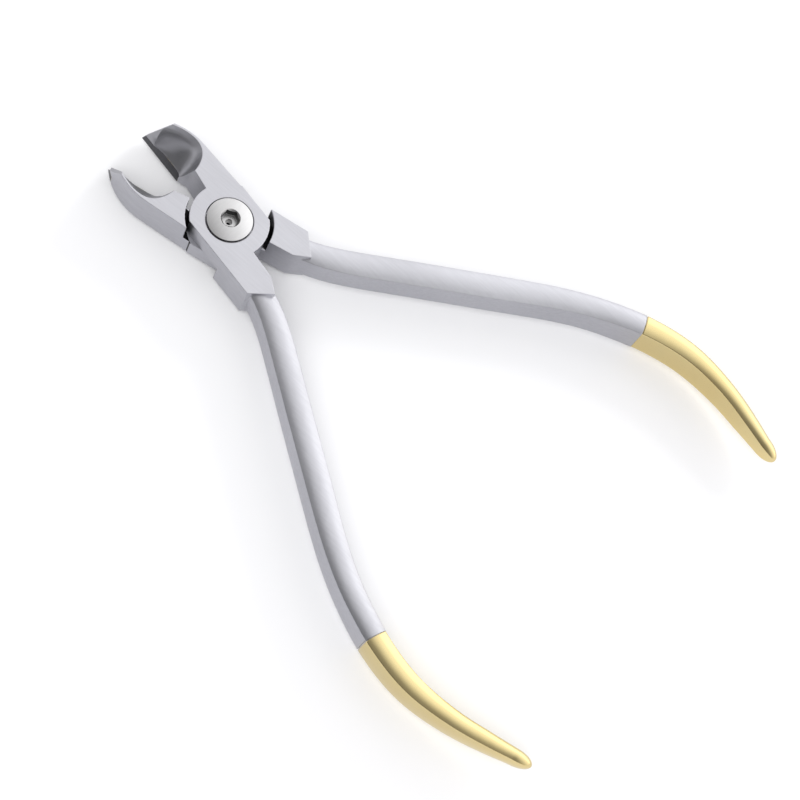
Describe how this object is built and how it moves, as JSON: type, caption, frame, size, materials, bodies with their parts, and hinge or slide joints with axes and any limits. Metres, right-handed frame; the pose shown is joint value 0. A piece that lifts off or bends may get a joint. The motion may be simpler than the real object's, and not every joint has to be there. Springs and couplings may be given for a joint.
{
  "type": "orthodontic pliers",
  "caption": "Lap-jointed hard-wire cutting pliers with hollow-ground jaws, brazed carbide edges, a hex-socket pivot screw and gold-plated handle ends",
  "frame": {"origin": "on the pivot axis, level with the flat front faces, inside the screw's hex socket", "axes": "+Y from the pivot to the jaw tips, +Z out of the front faces along the pivot, +X to the front half's jaw"},
  "size_m": [0.089, 0.1264, 0.0098],
  "materials": {
    "steel": "satin",
    "carbide": "ground",
    "braze": "smooth",
    "screw": "satin",
    "gold": "mirror polished"
  },
  "bodies": {
    "back": {"back_half": "steel", "back_carbide_insert": "carbide", "back_braze": "braze", "pivot_screw": "screw", "back_gold_plating": "gold"},
    "front": {"front_half": "steel", "front_carbide_insert": "carbide", "front_braze": "braze", "front_gold_plating": "gold"}
  },
  "joints": [
    {"name": "pivot", "type": "hinge", "parent": "back", "child": "front", "pos_m": [0, 0, -0.004], "axis": [0, 0, -1], "range_deg": [-22, 8]}
  ]
}
